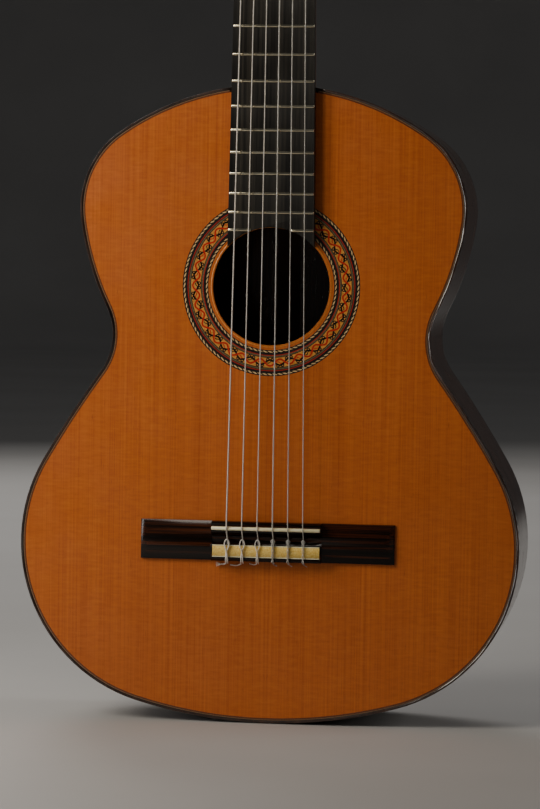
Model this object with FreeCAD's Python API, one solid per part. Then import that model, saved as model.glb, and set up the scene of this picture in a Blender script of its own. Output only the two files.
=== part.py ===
import FreeCAD, Part
import math
import os

V = FreeCAD.Vector
os.makedirs("parts", exist_ok=True)

# Classical guitar, millimetres.  +Z runs from the tail up the neck, -Y is the
# front (soundboard) side, +X is the treble side.  The origin lies on the outer
# face of the end graft, halfway through the depth of the body at the tail.

# ---------------------------------------------------------------- body outline
FRONT = -47.8            # y of the soundboard's outer face
BODY_LENGTH = 467.6
LOWER_HALF = 184.3       # half width of the lower bout
LOWER_RADIUS = 121.0
LOWER_Z = 130.0
WAIST_HALF = 117.0
WAIST_RADIUS = 45.5
WAIST_Z = 283.0
UPPER_HALF = 142.3
UPPER_RADIUS = 67.8
UPPER_Z = 376.5
LOWER_FLANK = 800.0      # large arcs between bouts and waist
UPPER_FLANK = 206.0

# ------------------------------------------------------------ body thicknesses
BACK_APEX_DEPTH = 100.0
BACK_APEX_Z = 200.0
BACK_DOME_RADIUS = 4570.0
TOP_T = 2.5
BACK_T = 2.5
SIDE_T = 1.8
BINDING_W = 1.8
PURFLING_W = 1.8
FRONT_BINDING_H = 6.0
BACK_BINDING_H = 5.0
LINING_W = 5.5
LINING_H = 14.0
CENTRE_STRIP_W = 4.0
TAIL_BLOCK_HALF = 35.0
TAIL_BLOCK_T = 15.0
GRAFT_HALF = 7.0
SIDE_SLOT_HALF = 12.0    # the sides end in slots in the heel, this far from the centre

# ------------------------------------------------------- scale, strings, frets
NUT_Z = 794.4
SCALE = 650.0
SADDLE_Z = NUT_Z - SCALE - 1.0
HOLE_Z = 320.3
HOLE_R = 43.2
ROSETTE_IN = 46.4
ROSETTE_OUT = 65.4
ROSETTE_DEPTH = 1.5
FRET_COUNT = 19
BOARD_T = 6.0
BOARD_HALF_NUT = 26.25
BOARD_HALF_12 = 30.36
NUT_T = 5.0
NUT_TOP = 8.4
STRING_UNDER_AT_NUT = 7.6
SADDLE_TOP = 12.0
STRING_D = {1: 0.71, 2: 0.82, 3: 1.02, 4: 0.74, 5: 0.89, 6: 1.09}
SADDLE_X = {1: 27.6, 2: 16.5, 3: 5.3, 4: -6.0, 5: -17.3, 6: -28.6}
NUT_X = {1: 20.5, 2: 12.3, 3: 4.1, 4: -4.1, 5: -12.3, 6: -20.5}

# ---------------------------------------------------------------------- bridge
BRIDGE_HALF = 93.75
BRIDGE_BLOCK_HALF = 40.5
BRIDGE_FRONT = 4.8       # toward the soundhole, measured from the saddle line
BRIDGE_REAR = -24.1
TIE_FRONT = -12.0
TIE_TOP = 8.4
TIE_HOLE_H = 3.8
TIE_HOLE_R = 0.8

# ------------------------------------------------------------------- headstock
HEAD_TILT = 14.0
HEAD_Z = NUT_Z + NUT_T
HEAD_HALF = 37.0
HEAD_T = 20.0
VENEER_T = 2.0
SLOT_IN = 6.0
SLOT_OUT = 22.0
SLOT_S0 = 18.0
SLOT_S1 = 136.0
ROLLER_S = [42.0, 77.0, 112.0]
ROLLER_DEPTH = 11.0
ROLLER_R = 5.0
RUN = 0.05               # radial running clearance of every turning piece
PLATE_T = 1.2
GEAR_X = 41.2
GEAR_R = 7.0
GEAR_T = 4.0
GEAR_TEETH = 14
WORM_R = 3.0
WORM_OFFSET = GEAR_R + WORM_R + 0.3
WORM_SHAFT_R = 2.0


def save(name, shapes):
    """Write one node; several separate solids go out as a compound."""
    solids = []
    for shape in shapes:
        solids.extend(shape.Solids)
    if len(solids) == 1:
        out = solids[0]
    else:
        out = Part.makeCompound(solids)
    if not out.isValid():
        print("invalid", name)
    out.exportStep("parts/" + name + ".step")
    print(name, len(solids), round(out.Volume / 1000.0, 2))


def box(x0, x1, y0, y1, z0, z1):
    return Part.makeBox(x1 - x0, y1 - y0, z1 - z0, V(x0, y0, z0))


def rod(radius, start, end):
    axis = end.sub(start)
    return Part.makeCylinder(radius, axis.Length, start, axis)


def unit(p):
    size = math.hypot(p[0], p[1])
    return (p[0] / size, p[1] / size)


def along(centre, toward, distance):
    d = unit((toward[0] - centre[0], toward[1] - centre[1]))
    return (centre[0] + d[0] * distance, centre[1] + d[1] * distance)


def circle_meet(a, ra, b, rb):
    """Meeting point of two circles that lies nearer the centre line."""
    dx = b[0] - a[0]
    dz = b[1] - a[1]
    d = math.hypot(dx, dz)
    t = (d * d + ra * ra - rb * rb) / (2.0 * d)
    h = math.sqrt(ra * ra - t * t)
    one = (a[0] + (t * dx - h * dz) / d, a[1] + (t * dz + h * dx) / d)
    two = (a[0] + (t * dx + h * dz) / d, a[1] + (t * dz - h * dx) / d)
    return one if one[0] < two[0] else two


def outline_wire(inset, y):
    """The guitar outline made of tangent arcs, drawn in by the inset."""
    c2 = (LOWER_HALF - LOWER_RADIUS, LOWER_Z)
    c4 = (WAIST_HALF + WAIST_RADIUS, WAIST_Z)
    c5 = (UPPER_HALF - UPPER_RADIUS, UPPER_Z)
    r1 = (c2[0] ** 2 + LOWER_Z ** 2 - LOWER_RADIUS ** 2) / (2.0 * (LOWER_Z - LOWER_RADIUS))
    c1 = (0.0, r1)
    head = BODY_LENGTH - UPPER_Z
    r6 = (c5[0] ** 2 + head ** 2 - UPPER_RADIUS ** 2) / (2.0 * (head - UPPER_RADIUS))
    c6 = (0.0, BODY_LENGTH - r6)
    f1 = circle_meet(c2, LOWER_FLANK - LOWER_RADIUS, c4, LOWER_FLANK + WAIST_RADIUS)
    f2 = circle_meet(c5, UPPER_FLANK - UPPER_RADIUS, c4, UPPER_FLANK + WAIST_RADIUS)
    ends = [
        (0.0, inset),
        along(c1, c2, r1 - inset),
        along(f1, c2, LOWER_FLANK - inset),
        along(f1, c4, LOWER_FLANK - inset),
        along(f2, c4, UPPER_FLANK - inset),
        along(f2, c5, UPPER_FLANK - inset),
        along(c6, c5, r6 - inset),
        (0.0, BODY_LENGTH - inset),
    ]
    centres = [c1, c2, f1, c4, f2, c5, c6]
    right = []
    left = []
    for k, c in enumerate(centres):
        a = ends[k]
        b = ends[k + 1]
        radius = math.hypot(a[0] - c[0], a[1] - c[1])
        ua = unit((a[0] - c[0], a[1] - c[1]))
        ub = unit((b[0] - c[0], b[1] - c[1]))
        um = unit((ua[0] + ub[0], ua[1] + ub[1]))
        m = (c[0] + um[0] * radius, c[1] + um[1] * radius)
        right.append(Part.Arc(V(a[0], y, a[1]), V(m[0], y, m[1]), V(b[0], y, b[1])).toShape())
        left.append(Part.Arc(V(-b[0], y, b[1]), V(-m[0], y, m[1]), V(-a[0], y, a[1])).toShape())
    left.reverse()
    return Part.Wire(right + left)


def slab(inset, y0, y1):
    return Part.Face(outline_wire(inset, y0)).extrude(V(0, y1 - y0, 0))


def ring(outer, inner, y0, y1):
    return slab(outer, y0, y1).cut(slab(inner, y0 - 1.0, y1 + 1.0))


def dome(depth):
    """Everything in front of the arched back, drawn in by the given depth."""
    centre = V(0, FRONT + BACK_APEX_DEPTH - BACK_DOME_RADIUS, BACK_APEX_Z)
    return Part.makeSphere(BACK_DOME_RADIUS - depth, centre)


def back_y(x, z, depth):
    r = BACK_DOME_RADIUS - depth
    flat = math.sqrt(r * r - x * x - (z - BACK_APEX_Z) ** 2)
    return FRONT + BACK_APEX_DEPTH - BACK_DOME_RADIUS + flat


BASS = box(-400, 0, -200, 200, -50, 600)
TREBLE = box(0, 400, -200, 200, -50, 600)
LOW_BACK = FRONT + 120.0
d_outer = dome(0.0)
d_plate = dome(BACK_T)
d_bind = dome(BACK_BINDING_H)
d_lining = dome(BACK_T + LINING_H)

# ------------------------------------------------------------------ soundboard
EDGE = BINDING_W + PURFLING_W
NECK_GAP = box(-30.3, 30.3, -200, 200, 400, 500)
top = slab(EDGE, FRONT, FRONT + TOP_T)
tongue = slab(0.0, FRONT, FRONT + TOP_T).common(box(-30.3, 30.3, -200, 200, 440, 500))
top = top.fuse(tongue).removeSplitter()
hole = rod(HOLE_R, V(0, FRONT - 5, HOLE_Z), V(0, FRONT + 8, HOLE_Z))
rosette = rod(ROSETTE_OUT, V(0, FRONT, HOLE_Z), V(0, FRONT + ROSETTE_DEPTH, HOLE_Z))
rosette = rosette.cut(rod(ROSETTE_IN, V(0, FRONT - 5, HOLE_Z), V(0, FRONT + 8, HOLE_Z)))
top = top.cut(hole).cut(rosette)
save("soundboard_bass_half", [top.common(BASS)])
save("soundboard_treble_half", [top.common(TREBLE)])
save("rosette", [rosette])
purfling = ring(BINDING_W, EDGE, FRONT, FRONT + TOP_T).cut(NECK_GAP)
save("top_purfling", [purfling.common(BASS), purfling.common(TREBLE)])

# ------------------------------------------------- back, sides, bindings, ends
front_binding = ring(0.0, BINDING_W, FRONT, FRONT + FRONT_BINDING_H).cut(NECK_GAP)
back_binding = ring(0.0, BINDING_W, FRONT + 60, LOW_BACK).common(d_outer).cut(d_bind)
save("bindings", [
    front_binding.common(BASS),
    front_binding.common(TREBLE),
    back_binding.common(BASS),
    back_binding.common(TREBLE),
])
back = slab(BINDING_W, FRONT + 60, LOW_BACK).common(d_outer).cut(d_plate)
half_strip = CENTRE_STRIP_W / 2.0
save("back_bass_half", [back.common(box(-400, -half_strip, -200, 200, -50, 600))])
save("back_treble_half", [back.common(box(half_strip, 400, -200, 200, -50, 600))])
save("back_centre_strip", [back.common(box(-half_strip, half_strip, -200, 200, -50, 600))])

side_low = FRONT + FRONT_BINDING_H
graft_room = box(-GRAFT_HALF, GRAFT_HALF, -200, 200, -20, 60)
slot_room = box(-SIDE_SLOT_HALF, SIDE_SLOT_HALF, -200, 200, 400, 500)
sides = ring(0.0, SIDE_T, side_low, LOW_BACK).common(d_bind).cut(graft_room).cut(slot_room)
save("side_bass", [sides.common(BASS)])
save("side_treble", [sides.common(TREBLE)])
graft = box(-GRAFT_HALF, GRAFT_HALF, side_low, LOW_BACK, 0.0, 30.0)
graft = graft.cut(slab(SIDE_T, -200, 200)).common(d_bind)
save("end_graft", [graft])
block = box(-TAIL_BLOCK_HALF, TAIL_BLOCK_HALF, FRONT + TOP_T, LOW_BACK, -5.0, SIDE_T + TAIL_BLOCK_T)
block = block.common(slab(SIDE_T, -200, 200)).common(d_plate)
save("tail_block", [block])

# --------------------------------------------------------------------- linings
lining_ring = ring(SIDE_T, SIDE_T + LINING_W, FRONT + TOP_T, LOW_BACK)
ends_room = box(-TAIL_BLOCK_HALF, TAIL_BLOCK_HALF, -200, 200, -20, 60)
ends_room = ends_room.fuse(box(-32, 32, -200, 200, 400, 500))
lining_ring = lining_ring.cut(ends_room)
front_lining = lining_ring.common(box(-400, 400, FRONT, FRONT + TOP_T + LINING_H, -50, 600))
back_lining = lining_ring.common(d_plate).cut(d_lining)
save("linings", [
    front_lining.common(BASS),
    front_lining.common(TREBLE),
    back_lining.common(BASS),
    back_lining.common(TREBLE),
])

# ---------------------------------------------------------------- top bracing
inside = slab(SIDE_T + LINING_W + 0.1, -200, 200)


def strut(x0, z0, x1, z1, width, height):
    """A spruce strut under the soundboard with a peaked section and sloped ends."""
    length = math.hypot(x1 - x0, z1 - z0)
    section = Part.makePolygon([
        V(-width / 2.0, 0, 0),
        V(width / 2.0, 0, 0),
        V(width / 2.0, height * 0.55, 0),
        V(0, height, 0),
        V(-width / 2.0, height * 0.55, 0),
        V(-width / 2.0, 0, 0),
    ])
    solid = Part.Face(section).extrude(V(0, 0, length))
    slope = Part.makePolygon([
        V(-20, height * 0.3, 0),
        V(-20, height + 1, 18.0),
        V(-20, height + 1, 0),
        V(-20, height * 0.3, 0),
    ])
    wedge = Part.Face(slope).extrude(V(40, 0, 0))
    solid = solid.cut(wedge)
    solid = solid.cut(wedge.mirror(V(0, 0, length / 2.0), V(0, 0, 1)))
    turn = math.degrees(math.atan2(x1 - x0, z1 - z0))
    solid.rotate(V(0, 0, 0), V(0, 1, 0), turn)
    solid.translate(V(x0, FRONT + TOP_T, z0))
    return solid


fan = []
for k in range(-3, 4):
    spread = 27.0 * k
    tip = 13.0 * k
    low = 62.0 + 4.0 * abs(k)
    fan.append(strut(spread, low, tip, 250.0, 5.0, 6.0))
for side in (-1, 1):
    fan.append(strut(side * 8.0, 34.0, side * 100.0, 66.0, 5.0, 5.0))
save("fan_braces", fan)


def bar(z, height, width):
    """A cross bar from lining to lining with scooped ends."""
    half = 200.0
    solid = box(-half, half, FRONT + TOP_T, FRONT + TOP_T + height, z - width / 2.0, z + width / 2.0)
    return solid.common(inside)


bars = []
for z, h in ((262.0, 16.0), (380.0, 16.0), (408.0, 10.0)):
    bars.append(bar(z, h, 6.0).cut(front_lining))
save("harmonic_bars", bars)

# --------------------------------------------------------------- back bracing
back_bars = []
for z in (108.0, 236.0, 372.0):
    beam = box(-200, 200, FRONT + 60, LOW_BACK, z - 3.5, z + 3.5)
    back_bars.append(beam.common(inside).common(d_plate).cut(dome(BACK_T + 14.0)))
save("back_braces", back_bars)
seams = []
for z0, z1 in ((18.0, 104.0), (112.0, 232.0), (240.0, 368.0), (376.0, 424.0)):
    piece = box(-8, 8, FRONT + 60, LOW_BACK, z0, z1)
    seams.append(piece.common(d_plate).cut(dome(BACK_T + 2.0)))
save("back_seam_strip", seams)


# ------------------------------------------------------------------------ neck
def arch_points(half, rise, power):
    """Half of a superellipse, from one edge over the crown to the other."""
    count = 12
    pts = []
    for k in range(count + 1):
        t = math.pi * k / count
        c = math.cos(t)
        s = math.sin(t)
        x = half * math.copysign(abs(c) ** (2.0 / power), c)
        pts.append((x, rise * abs(s) ** (2.0 / power)))
    return pts


def arch_wire(points):
    curve = Part.BSplineCurve()
    curve.interpolate(points)
    return Part.Wire([curve.toShape(), Part.makeLine(points[-1], points[0])])


def board_half(z):
    return BOARD_HALF_NUT + (BOARD_HALF_12 - BOARD_HALF_NUT) * (NUT_Z - z) / (SCALE / 2.0)


def shaft_section(z, depth, power):
    pts = arch_points(board_half(z), depth, power)
    return arch_wire([V(x, FRONT + y, z) for x, y in pts])


shaft = Part.makeLoft([
    shaft_section(450.0, 19.0, 2.4),
    shaft_section(560.0, 17.2, 2.4),
    shaft_section(680.0, 16.2, 2.4),
    shaft_section(HEAD_Z, 15.4, 2.5),
], True)


def heel_section(depth, half, length):
    pts = arch_points(half, length + 12.0, 2.3)
    return arch_wire([V(x, FRONT + depth, BODY_LENGTH - 12.0 + z) for x, z in pts])


def heel_half(depth):
    return 12.5 + 14.0 * (1.0 - (depth - 1.0) / heel_end) ** 1.7


def heel_length(depth):
    """The heel sweeps out of the neck and runs almost square to the cap."""
    return 24.0 + 24.0 * math.exp(-max(depth - 12.0, 0.0) / 8.0)


heel_end = back_y(0, BODY_LENGTH + 12, 0.0) - FRONT
heel_cuts = [1.0, 7.0, 12.0]
while heel_cuts[-1] < 36.0:
    heel_cuts.append(heel_cuts[-1] + 2.4)
while heel_cuts[-1] < heel_end - 9.0:
    heel_cuts.append(heel_cuts[-1] + 5.0)
heel_cuts.append(heel_end - 2.5)
heel = Part.makeLoft([heel_section(d, heel_half(d), heel_length(d)) for d in heel_cuts], True, True)
outside = shaft.fuse(heel).cut(slab(0.0, -200, 200))
foot = box(-31, 31, FRONT + TOP_T, LOW_BACK, 442.0, 480.0)
foot = foot.fuse(box(-26, 26, FRONT + 76.0, LOW_BACK, 426.0, 444.0))
foot = foot.common(slab(SIDE_T, -200, 200)).common(d_plate)
web = ring(0.0, SIDE_T, side_low, LOW_BACK).common(d_bind).common(slot_room)
web_top = ring(0.0, SIDE_T, FRONT + TOP_T, side_low).common(NECK_GAP)
neck = outside.fuse([foot, web, web_top]).removeSplitter()
save("neck", [neck])
cap_depth = heel_end - 2.5
cap_wire = heel_section(cap_depth, heel_half(cap_depth), heel_length(cap_depth))
cap = Part.Face(cap_wire).extrude(V(0, 2.5, 0)).cut(slab(0.0, -200, 200))
save("heel_cap", [cap])

# --------------------------------------------------- fretboard, frets and nut
board_end = HOLE_Z + 20.0
board = Part.makePolygon([
    V(-board_half(board_end), FRONT - BOARD_T, board_end),
    V(board_half(board_end), FRONT - BOARD_T, board_end),
    V(board_half(NUT_Z), FRONT - BOARD_T, NUT_Z),
    V(-board_half(NUT_Z), FRONT - BOARD_T, NUT_Z),
    V(-board_half(board_end), FRONT - BOARD_T, board_end),
])
board = Part.Face(board).extrude(V(0, BOARD_T, 0))
hole_path = rod(HOLE_R, V(0, FRONT - 20, HOLE_Z), V(0, FRONT + 8, HOLE_Z))
board = board.cut(hole_path)
frets = []
for n in range(1, FRET_COUNT + 1):
    z = NUT_Z - SCALE * (1.0 - 2.0 ** (-n / 12.0))
    half = board_half(z)
    face = FRONT - BOARD_T
    crown = rod(1.05, V(-half + 0.15, face, z), V(half - 0.15, face, z))
    crown = crown.common(box(-50, 50, face - 2, face, z - 2, z + 2))
    tang = box(-half + 0.15, half - 0.15, face, face + 1.8, z - 0.3, z + 0.3)
    fret = crown.fuse(tang)
    clear_hole = rod(HOLE_R + 0.2, V(0, FRONT - 20, HOLE_Z), V(0, FRONT + 8, HOLE_Z))
    fret = fret.cut(clear_hole)
    board = board.cut(tang.cut(clear_hole))
    frets.extend(fret.Solids)
save("fretboard", [board])
save("frets", frets)


# ------------------------------------------------------------- head placement
HEAD_O = V(0, FRONT - VENEER_T, HEAD_Z)


def to_head(shape):
    """Tilt a piece drawn in head coordinates (x, depth, distance up the head)."""
    out = shape.copy()
    out.rotate(V(0, 0, 0), V(1, 0, 0), -HEAD_TILT)
    out.translate(HEAD_O)
    return out


def head_point(x, depth, s):
    a = math.radians(HEAD_TILT)
    y = depth * math.cos(a) + s * math.sin(a)
    z = -depth * math.sin(a) + s * math.cos(a)
    return V(x, HEAD_O.y + y, HEAD_O.z + z)


# --------------------------------------------------------------------- strings
def string_points(n):
    r = STRING_D[n] / 2.0
    row = n - 1 if n <= 3 else 6 - n
    side = 1.0 if n <= 3 else -1.0
    hole_y = FRONT - TIE_HOLE_H
    nut = V(NUT_X[n], FRONT - STRING_UNDER_AT_NUT - r, NUT_Z + NUT_T / 2.0)
    # the string leaves the nut and meets the front of its roller at a tangent
    a = math.radians(HEAD_TILT)
    dy = nut.y - HEAD_O.y
    dz = nut.z - HEAD_O.z
    nut_depth = dy * math.cos(a) - dz * math.sin(a)
    nut_s = dy * math.sin(a) + dz * math.cos(a)
    cd = ROLLER_DEPTH - nut_depth
    cs = ROLLER_S[row] - nut_s
    dist = math.hypot(cd, cs)
    reach = ROLLER_R + r + 0.25
    lean = math.atan2(cd, cs) - math.asin(reach / dist)
    run = math.sqrt(dist * dist - reach * reach)
    land = side * (16.5 - 2.75 * row)
    end = head_point(land, nut_depth + run * math.sin(lean), nut_s + run * math.cos(lean))
    return [
        V(SADDLE_X[n], hole_y, SADDLE_Z + BRIDGE_REAR - 0.8),
        V(SADDLE_X[n], hole_y, SADDLE_Z + TIE_FRONT + 0.5),
        V(SADDLE_X[n], FRONT - SADDLE_TOP - r - 0.02, SADDLE_Z),
        nut,
        end,
    ]


def string_solid(n, grow):
    pts = string_points(n)
    r = STRING_D[n] / 2.0 + grow
    solid = rod(r, pts[0], pts[1])
    for k in range(1, len(pts) - 1):
        solid = solid.fuse(rod(r, pts[k], pts[k + 1]))
        solid = solid.fuse(Part.makeSphere(r, pts[k]))
    return solid


nut = box(-26.1, 26.1, FRONT - NUT_TOP, FRONT, NUT_Z, NUT_Z + NUT_T)
for n in range(1, 7):
    save("string_" + str(n), [string_solid(n, 0.0)])
    pts = string_points(n)
    low = pts[2].sub(pts[3])
    high = pts[4].sub(pts[3])
    under = pts[3].y + STRING_D[n] / 2.0 + 0.03
    half = STRING_D[n] / 2.0 + 0.25
    reach = NUT_T / 2.0 + 1.0
    slot = Part.makePolygon([
        V(pts[3].x - half, under + low.y / abs(low.z) * reach, pts[3].z - reach),
        V(pts[3].x - half, under, pts[3].z),
        V(pts[3].x - half, under + high.y / high.z * reach, pts[3].z + reach),
        V(pts[3].x - half, FRONT - 20, pts[3].z + reach),
        V(pts[3].x - half, FRONT - 20, pts[3].z - reach),
        V(pts[3].x - half, under + low.y / abs(low.z) * reach, pts[3].z - reach),
    ])
    nut = nut.cut(Part.Face(slot).extrude(V(2 * half, 0, 0)))
save("nut", [nut])

# ---------------------------------------------------------------------- bridge


def profile(points, x0, x1):
    """Extrude a height/length profile of the bridge along its width."""
    wire = [V(x0, FRONT - h, SADDLE_Z + z) for z, h in points]
    wire.append(wire[0])
    return Part.Face(Part.makePolygon(wire)).extrude(V(x1 - x0, 0, 0))


centre = profile([
    (BRIDGE_FRONT, 0.0),
    (BRIDGE_FRONT, 7.0),
    (3.6, 8.6),
    (-3.0, 8.6),
    (-6.0, 4.2),
    (TIE_FRONT, 2.6),
    (TIE_FRONT, TIE_TOP),
    (-22.6, TIE_TOP),
    (BRIDGE_REAR, 7.0),
    (BRIDGE_REAR, 0.0),
], -BRIDGE_BLOCK_HALF, BRIDGE_BLOCK_HALF)
bridge = centre
mid = (BRIDGE_FRONT + BRIDGE_REAR) / 2.0
for side in (-1, 1):
    arc = Part.Arc(
        V(0, FRONT - 2.2, SADDLE_Z + BRIDGE_REAR),
        V(0, FRONT - 4.4, SADDLE_Z + mid),
        V(0, FRONT - 2.2, SADDLE_Z + BRIDGE_FRONT),
    ).toShape()
    base = Part.makePolygon([
        V(0, FRONT - 2.2, SADDLE_Z + BRIDGE_FRONT),
        V(0, FRONT, SADDLE_Z + BRIDGE_FRONT),
        V(0, FRONT, SADDLE_Z + BRIDGE_REAR),
        V(0, FRONT - 2.2, SADDLE_Z + BRIDGE_REAR),
    ])
    wing = Part.Face(Part.Wire([arc] + base.Edges)).extrude(V(side * BRIDGE_HALF, 0, 0))
    x_in = side * (BRIDGE_HALF - 7.0)
    x_out = side * (BRIDGE_HALF + 1.0)
    bevel = Part.makePolygon([
        V(x_in, FRONT - 4.6, SADDLE_Z - 40),
        V(x_out, FRONT - 0.8, SADDLE_Z - 40),
        V(x_out, FRONT - 9.0, SADDLE_Z - 40),
        V(x_in, FRONT - 4.6, SADDLE_Z - 40),
    ])
    wing = wing.cut(Part.Face(bevel).extrude(V(0, 0, 80)))
    room = box(-BRIDGE_BLOCK_HALF, BRIDGE_BLOCK_HALF, -200, 200, 0, 300)
    bridge = bridge.fuse(wing.cut(room))
bridge = bridge.removeSplitter()
SADDLE_HALF_L = 39.9
saddle_slot = box(
    -SADDLE_HALF_L, SADDLE_HALF_L, FRONT - 30, FRONT - 3.6, SADDLE_Z - 1.25, SADDLE_Z + 1.25
)
bridge = bridge.cut(saddle_slot)
inlay = box(
    -39.5, 39.5, FRONT - TIE_TOP, FRONT - TIE_TOP + 1.0, SADDLE_Z - 20.4, SADDLE_Z - 12.8
)
bridge = bridge.cut(inlay)
for n in range(1, 7):
    x = SADDLE_X[n]
    y = FRONT - TIE_HOLE_H
    bridge = bridge.cut(
        rod(TIE_HOLE_R, V(x, y, SADDLE_Z + BRIDGE_REAR - 2), V(x, y, SADDLE_Z - 8.0))
    )
save("bridge", [bridge])
save("tie_block_inlay", [inlay])
crown = rod(1.25, V(-SADDLE_HALF_L, FRONT - SADDLE_TOP + 1.25, SADDLE_Z),
            V(SADDLE_HALF_L, FRONT - SADDLE_TOP + 1.25, SADDLE_Z))
saddle = saddle_slot.common(box(-50, 50, FRONT - SADDLE_TOP + 1.25, FRONT, 0, 300)).fuse(crown)
save("saddle", [saddle.removeSplitter()])

# ------------------------------------------------------------------- headstock
half_plan = [
    (BOARD_HALF_NUT, 3.0),
    (28.0, 6.5),
    (32.5, 10.5),
    (HEAD_HALF, 17.0),
]
SHOULDER_S = 152.0        # the sides run straight up to a small cove under the crest
COVE_R = 4.0
CREST_S = 188.0


def curve_through(points, y, flip):
    c = Part.BSplineCurve()
    c.interpolate([V(flip * x, y, s) for x, s in points])
    return c.toShape()


def cove(y, flip):
    """Quarter-round notch between the straight side and the crest."""
    mid = COVE_R * (1.0 - math.sqrt(0.5))
    low = V(flip * HEAD_HALF, y, SHOULDER_S)
    half_way = V(flip * (HEAD_HALF - COVE_R + mid), y, SHOULDER_S + mid)
    high = V(flip * (HEAD_HALF - COVE_R), y, SHOULDER_S + COVE_R)
    return Part.Arc(low, half_way, high).toShape()


def head_plate(y0, y1):
    crest_x = HEAD_HALF - COVE_R
    crest_s = SHOULDER_S + COVE_R
    edges = [
        Part.makeLine(V(-BOARD_HALF_NUT, y0, -12), V(BOARD_HALF_NUT, y0, -12)),
        Part.makeLine(V(BOARD_HALF_NUT, y0, -12), V(BOARD_HALF_NUT, y0, 3)),
        curve_through(half_plan, y0, 1),
        Part.makeLine(V(HEAD_HALF, y0, 17), V(HEAD_HALF, y0, SHOULDER_S)),
        cove(y0, 1),
        Part.Arc(V(crest_x, y0, crest_s), V(0, y0, CREST_S), V(-crest_x, y0, crest_s)).toShape(),
        cove(y0, -1),
        Part.makeLine(V(-HEAD_HALF, y0, SHOULDER_S), V(-HEAD_HALF, y0, 17)),
        curve_through(list(reversed(half_plan)), y0, -1),
        Part.makeLine(V(-BOARD_HALF_NUT, y0, 3), V(-BOARD_HALF_NUT, y0, -12)),
    ]
    return Part.Face(Part.Wire(Part.__sortEdges__(edges))).extrude(V(0, y1 - y0, 0))


def head_slot(side):
    mid_x = side * (SLOT_IN + SLOT_OUT) / 2.0
    r = (SLOT_OUT - SLOT_IN) / 2.0
    body = box(mid_x - r, mid_x + r, -10, 30, SLOT_S0 + r, SLOT_S1 - r)
    body = body.fuse(rod(r, V(mid_x, -10, SLOT_S0 + r), V(mid_x, 30, SLOT_S0 + r)))
    body = body.fuse(rod(r, V(mid_x, -10, SLOT_S1 - r), V(mid_x, 30, SLOT_S1 - r)))
    ramp = Part.makePolygon([
        V(mid_x - r, -1.0, 6.0),
        V(mid_x - r, 7.5, 26.0),
        V(mid_x - r, -1.0, 26.0),
        V(mid_x - r, -1.0, 6.0),
    ])
    return body.fuse(Part.Face(ramp).extrude(V(2 * r, 0, 0)))


wood = head_plate(VENEER_T, HEAD_T)
veneer = head_plate(0.0, VENEER_T)
for side in (-1, 1):
    wood = wood.cut(head_slot(side))
    veneer = veneer.cut(head_slot(side))
    for s in ROLLER_S:
        start = V(side * 1.7, ROLLER_DEPTH, s)
        end = V(side * (HEAD_HALF + 2), ROLLER_DEPTH, s)
        wood = wood.cut(rod(ROLLER_R + RUN, start, end))

screws = []
SCREW_S = [24.0, 56.0, 91.0, 124.0]
for side in (-1, 1):
    for s in SCREW_S:
        seat = side * (HEAD_HALF + PLATE_T)
        shank = rod(1.2, V(side * (HEAD_HALF - 9), 11, s), V(seat, 11, s))
        cap_ball = Part.makeSphere(3.0, V(seat - side * 1.8, 11, s))
        x_a = min(seat, seat + side * 3)
        cap_ball = cap_ball.common(box(x_a, x_a + 3, 0, 20, s - 5, s + 5))
        driver = box(seat + side * 1.2 - 0.5, seat + side * 1.2 + 0.5, 10.7, 11.3, s - 4, s + 4)
        screws.append(shank.fuse(cap_ball).cut(driver))
        wood = wood.cut(shank)

# The head wood meets the neck in a plane square to the strings behind the nut,
# and its lower end is rounded off to run into the neck.
wood_world = to_head(wood).cut(box(-100, 100, -200, 200, HEAD_Z - 60, HEAD_Z))
blend = Part.makeLoft([
    shaft_section(HEAD_Z - 0.01, 15.4, 2.5),
    arch_wire([V(x, FRONT + 2.6 + y, HEAD_Z + 13) for x, y in arch_points(34.0, 18.5, 5.0)]),
    arch_wire([V(x, FRONT + 4.0 + y, HEAD_Z + 20) for x, y in arch_points(44.0, 24.0, 8.0)]),
], True)
lower = box(-100, 100, -200, 200, HEAD_Z - 1, HEAD_Z + 19)
front_keep = box(-100, 100, FRONT - 60, FRONT + 4.2, HEAD_Z - 1, HEAD_Z + 19)
trim = lower.cut(blend).cut(front_keep)
wood_world = wood_world.cut(trim)
save("headstock", [wood_world])
veneer_world = to_head(veneer).cut(box(-100, 100, -200, 200, HEAD_Z - 60, HEAD_Z))
save("head_veneer", [veneer_world])
save("tuner_screws", [to_head(s) for s in screws])

# -------------------------------------------------------------- tuning machines


def tuner_plate(side):
    x0 = side * HEAD_HALF
    x1 = side * (HEAD_HALF + PLATE_T)
    lo = min(x0, x1)
    plate = box(lo, lo + PLATE_T, 4.0, 18.0, 25.0, 123.0)
    for s in (25.0, 123.0):
        plate = plate.fuse(rod(7.0, V(lo, 11, s), V(lo + PLATE_T, 11, s)))
    for s in ROLLER_S:
        worm_s = s - WORM_OFFSET
        for y in (4.4, 15.8):
            lug_x = min(x1, side * (GEAR_X + 1.0))
            lug = box(lug_x, lug_x + GEAR_X + 1.0 - HEAD_HALF - PLATE_T, y, y + 2.0, worm_s - 3.4, worm_s + 3.4)
            lug = lug.fuse(rod(3.4, V(side * GEAR_X, y, worm_s), V(side * GEAR_X, y + 2.0, worm_s)))
            plate = plate.fuse(lug)
        bore = rod(WORM_SHAFT_R + RUN, V(side * GEAR_X, 0, worm_s), V(side * GEAR_X, 20, worm_s))
        plate = plate.cut(bore)
        plate = plate.cut(rod(2.5 + RUN, V(side * 30, 11, s), V(side * 50, 11, s)))
    for s in SCREW_S:
        plate = plate.cut(rod(1.2, V(side * 30, 11, s), V(side * 50, 11, s)))
    return plate.removeSplitter()


save("tuner_plate_bass", [to_head(tuner_plate(-1))])
save("tuner_plate_treble", [to_head(tuner_plate(1))])


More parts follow.
